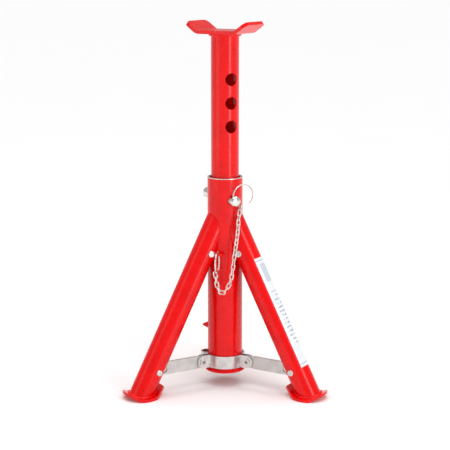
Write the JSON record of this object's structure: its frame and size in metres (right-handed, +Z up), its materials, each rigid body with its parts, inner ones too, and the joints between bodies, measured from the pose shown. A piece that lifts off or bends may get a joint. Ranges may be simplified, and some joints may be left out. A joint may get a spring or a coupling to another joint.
{
  "type": "axle stand",
  "caption": "Folding tripod axle stand: a pinned riser tube with a bent saddle slides in a sleeve on three tube legs, tied by links to a collar that slides as they fold.",
  "frame": {"origin": "on the ground, under the sleeve's axis", "axes": "+Z up along the sleeve, -Y between the two front legs, +Y towards the back leg"},
  "size_m": [0.2202, 0.196, 0.3975],
  "materials": {
    "red_paint": "gloss",
    "plated_steel": "satin",
    "bright_ring": "polished",
    "label": "satin"
  },
  "bodies": {
    "base": {"outer_tube": "red_paint", "stop_nib": "red_paint", "chain_eye": "red_paint", "anchor_ring": "bright_ring", "chain": "bright_ring", "hinge_lug_left": "red_paint", "hinge_lug_right": "red_paint", "hinge_lug_back": "red_paint"},
    "riser": {"riser_tube": "red_paint", "saddle": "red_paint"},
    "lock_pin": {"lock_pin": "plated_steel"},
    "pin_ring": {"pin_ring": "bright_ring"},
    "collar": {"collar_band_front": "plated_steel", "collar_band_left": "plated_steel", "collar_band_right": "plated_steel", "collar_rivets": "plated_steel"},
    "leg_left": {"leg_tube_left": "red_paint", "foot_left": "red_paint", "leg_pivot_rivet_left": "plated_steel", "link_pin_rivet_left": "plated_steel"},
    "link_left": {"link_left": "plated_steel"},
    "leg_right": {"leg_tube_right": "red_paint", "foot_right": "red_paint", "leg_pivot_rivet_right": "plated_steel", "link_pin_rivet_right": "plated_steel", "leg_label": "label"},
    "link_right": {"link_right": "plated_steel"},
    "leg_back": {"leg_tube_back": "red_paint", "foot_back": "red_paint", "leg_pivot_rivet_back": "plated_steel", "link_pin_rivet_back": "plated_steel"},
    "link_back": {"link_back": "plated_steel"}
  },
  "joints": [
    {"name": "riser_slide", "type": "slide", "parent": "base", "child": "riser", "axis": [0, 0, 1], "range_m": [-0.129, 0]},
    {"name": "pin_pull", "type": "slide", "parent": "base", "child": "lock_pin", "axis": [0.4695, -0.8829, 0], "range_m": [0, 0.066], "deforming": ["chain"]},
    {"name": "pin_ring_swing", "type": "hinge", "parent": "lock_pin", "child": "pin_ring", "pos_m": [0.01056, -0.01987, 0.208], "axis": [0.4145, 0.2204, -0.8829], "range_deg": [0, 90]},
    {"name": "leg_left_fold", "type": "hinge", "parent": "base", "child": "leg_left", "pos_m": [-0.02078, -0.012, 0.151], "axis": [0.5, -0.866, 0], "range_deg": [0, 23.5]},
    {"name": "leg_right_fold", "type": "hinge", "parent": "base", "child": "leg_right", "pos_m": [0.02078, -0.012, 0.151], "axis": [0.5, 0.866, 0], "range_deg": [0, 23.5]},
    {"name": "leg_back_fold", "type": "hinge", "parent": "base", "child": "leg_back", "pos_m": [0, 0.024, 0.151], "axis": [-1, 0, 0], "range_deg": [0, 23.5]},
    {"name": "collar_slide", "type": "slide", "parent": "base", "child": "collar", "axis": [0, 0, 1], "range_m": [0, 0.04306]},
    {"name": "link_left_swing", "type": "hinge", "parent": "collar", "child": "link_left", "pos_m": [-0.02537, -0.01465, 0.028], "axis": [0.5, -0.866, 0], "range_deg": [0, 85.43]},
    {"name": "link_right_swing", "type": "hinge", "parent": "collar", "child": "link_right", "pos_m": [0.02537, -0.01465, 0.028], "axis": [0.5, 0.866, 0], "range_deg": [0, 85.43]},
    {"name": "link_back_swing", "type": "hinge", "parent": "collar", "child": "link_back", "pos_m": [0, 0.0293, 0.028], "axis": [-1, 0, 0], "range_deg": [0, 85.43]}
  ],
  "couplings": [
    {"joint": "leg_right_fold", "follows": "leg_left_fold", "ratio": 1},
    {"joint": "leg_back_fold", "follows": "leg_left_fold", "ratio": 1},
    {"joint": "collar_slide", "follows": "leg_left_fold", "m_per_rad": 0.10498},
    {"joint": "link_left_swing", "follows": "leg_left_fold", "ratio": 3.6354},
    {"joint": "link_right_swing", "follows": "leg_left_fold", "ratio": 3.6354},
    {"joint": "link_back_swing", "follows": "leg_left_fold", "ratio": 3.6354}
  ]
}
